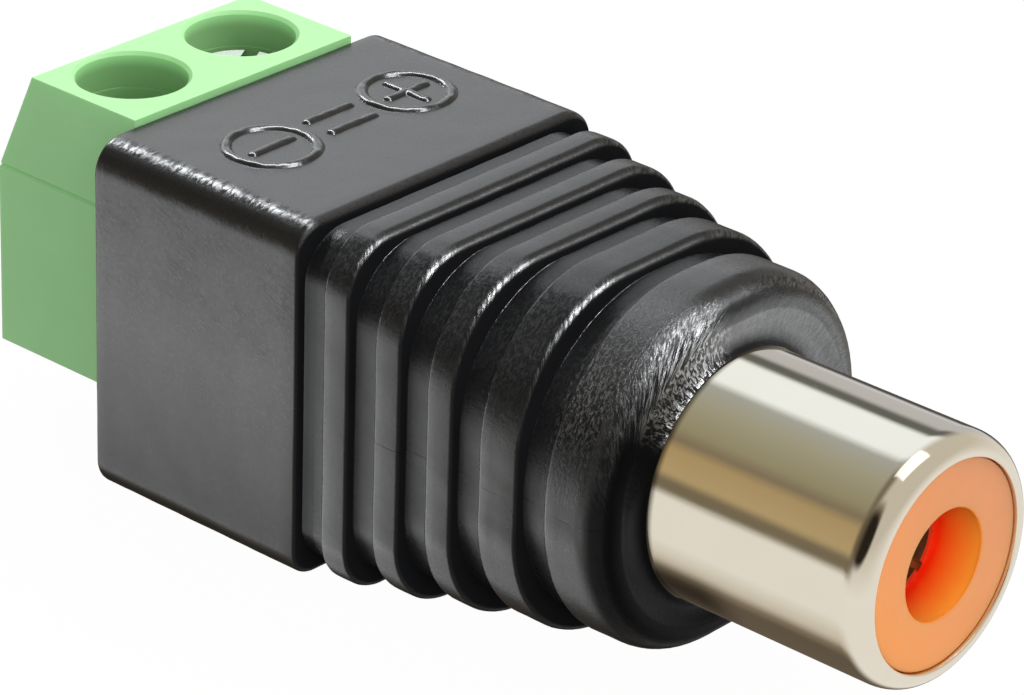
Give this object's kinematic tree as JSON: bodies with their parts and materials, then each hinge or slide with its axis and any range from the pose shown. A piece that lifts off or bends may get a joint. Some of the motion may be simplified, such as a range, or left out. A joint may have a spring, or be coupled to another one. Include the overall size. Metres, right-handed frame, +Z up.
{
  "type": "rca to terminal block adapter",
  "caption": "Phono socket in a ribbed black moulding with a green screw terminal block, for joining bare speaker or signal wires to a phono plug.",
  "frame": {"origin": "under the middle of the whole adapter, on the surface that the housing's flat foot stands on", "axes": "+X along the socket's axis, from the wire entries towards the socket's mouth; +Y across the two poles, towards the plus pole; +Z up, towards the screw heads"},
  "size_m": [0.036, 0.0138, 0.0126],
  "materials": {
    "housing": "black moulded vinyl with a soft sheen and fine grain",
    "terminal_body": "light green moulded nylon, satin",
    "screws": "zinc plated",
    "clamps": "zinc plated, pressed",
    "contact_bars": "tinned at the tail",
    "jack_shell": "bright nickel plate, warm in tone",
    "jack_insulator": "orange moulded plastic, satin",
    "centre_contact": "drawn, slightly dull",
    "rear_washer": "punched laminate",
    "ground_lug": "tinned",
    "links": "tinned copper strip"
  },
  "bodies": {
    "root": {"housing": "housing", "terminal_body": "terminal_body", "contact_bar_minus": "contact_bars", "contact_bar_plus": "contact_bars", "jack_shell": "jack_shell", "jack_insulator": "jack_insulator", "centre_contact": "centre_contact", "rear_washer": "rear_washer", "ground_lug": "ground_lug", "link_minus": "links", "link_plus": "links"},
    "screw_minus_body": {"screw_minus": "screws"},
    "screw_plus_body": {"screw_plus": "screws"},
    "clamp_minus_body": {"clamp_minus": "clamps"},
    "clamp_plus_body": {"clamp_plus": "clamps"}
  },
  "joints": [
    {"name": "screw_minus_turn", "type": "hinge", "parent": "root", "child": "screw_minus_body", "pos_m": [-0.01423, -0.0025, 0.0065], "axis": [0, 0, -1], "range_deg": [0, 1368]},
    {"name": "screw_plus_turn", "type": "hinge", "parent": "root", "child": "screw_plus_body", "pos_m": [-0.01423, 0.0025, 0.0065], "axis": [0, 0, -1], "range_deg": [-720, 648]},
    {"name": "clamp_minus_rise", "type": "slide", "parent": "root", "child": "clamp_minus_body", "axis": [0, 0, 1], "range_m": [0, 0.0019]},
    {"name": "clamp_plus_rise", "type": "slide", "parent": "root", "child": "clamp_plus_body", "axis": [0, 0, 1], "range_m": [-0.001, 0.0009]}
  ],
  "couplings": [
    {"joint": "screw_minus_turn", "follows": "clamp_minus_rise", "rad_per_m": 12566},
    {"joint": "screw_plus_turn", "follows": "clamp_plus_rise", "rad_per_m": 12566}
  ]
}
